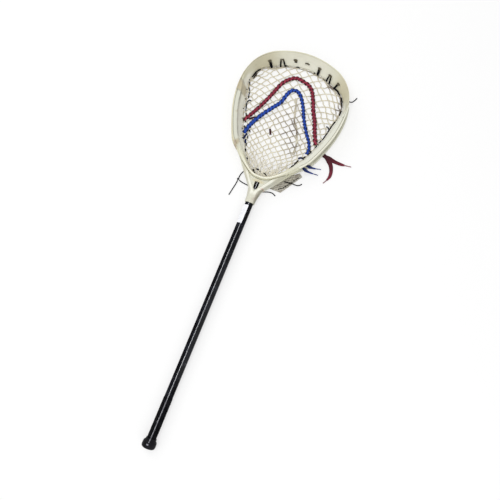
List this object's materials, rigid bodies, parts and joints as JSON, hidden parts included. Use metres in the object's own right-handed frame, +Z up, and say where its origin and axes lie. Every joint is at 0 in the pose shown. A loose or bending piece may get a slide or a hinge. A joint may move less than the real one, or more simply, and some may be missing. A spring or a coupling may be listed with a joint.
{
  "type": "lacrosse goalie stick",
  "caption": "Lacrosse goalie stick: wide teardrop moulded head with a knotted mesh pocket and coloured shooting laces, on an eight-sided metal shaft with taped grip and butt cap.",
  "frame": {"origin": "middle of the stick's length and width, on the surface it lies on, loose tails left out", "axes": "+X across the head, +Y along the shaft from the butt towards the scoop, +Z up, out of the head's open face"},
  "size_m": [0.3885, 1.157, 0.044],
  "materials": {
    "ivory_plastic": "moulded nylon, faintly yellowed, satin with scuffs",
    "black_anodised": "black anodised, glossy",
    "black_rubber": "moulded rubber, dull sheen",
    "black_tape": "wound friction tape, slightly glossy",
    "white_label": "blank vinyl sticker",
    "steel": "plated screw steel",
    "cream_cord": "knotted polyester cord, worn",
    "red_lace": "flat woven polyester lace",
    "blue_lace": "flat woven polyester lace",
    "black_string": "braided nylon string"
  },
  "bodies": {
    "root": {"shaft": "black_anodised", "grip_tape": "black_tape", "butt_cap": "black_rubber", "shaft_label": "white_label", "head_frame": "ivory_plastic", "head_screw": "steel", "pocket_mesh": "cream_cord", "mesh_end_flap": "cream_cord", "flap_stitch": "black_string", "red_shooting_lace": "red_lace", "blue_shooting_lace": "blue_lace", "top_string": "black_string", "left_side_string": "black_string", "right_side_string": "black_string", "throat_string": "black_string", "red_lace_tail_long": "red_lace", "red_lace_tail_curved": "red_lace", "red_tip_long": "red_lace", "red_tip_curved": "red_lace", "blue_lace_tail_upper": "blue_lace", "blue_lace_tail_lower": "blue_lace", "blue_tip_upper": "blue_lace", "blue_tip_lower": "blue_lace", "left_string_root": "black_string", "left_string_tail": "black_string", "left_string_branch": "black_string", "left_tail_knot": "black_string", "right_string_tail": "black_string", "throat_string_tail": "black_string", "flap_string_tail": "black_string"}
  },
  "joints": []
}
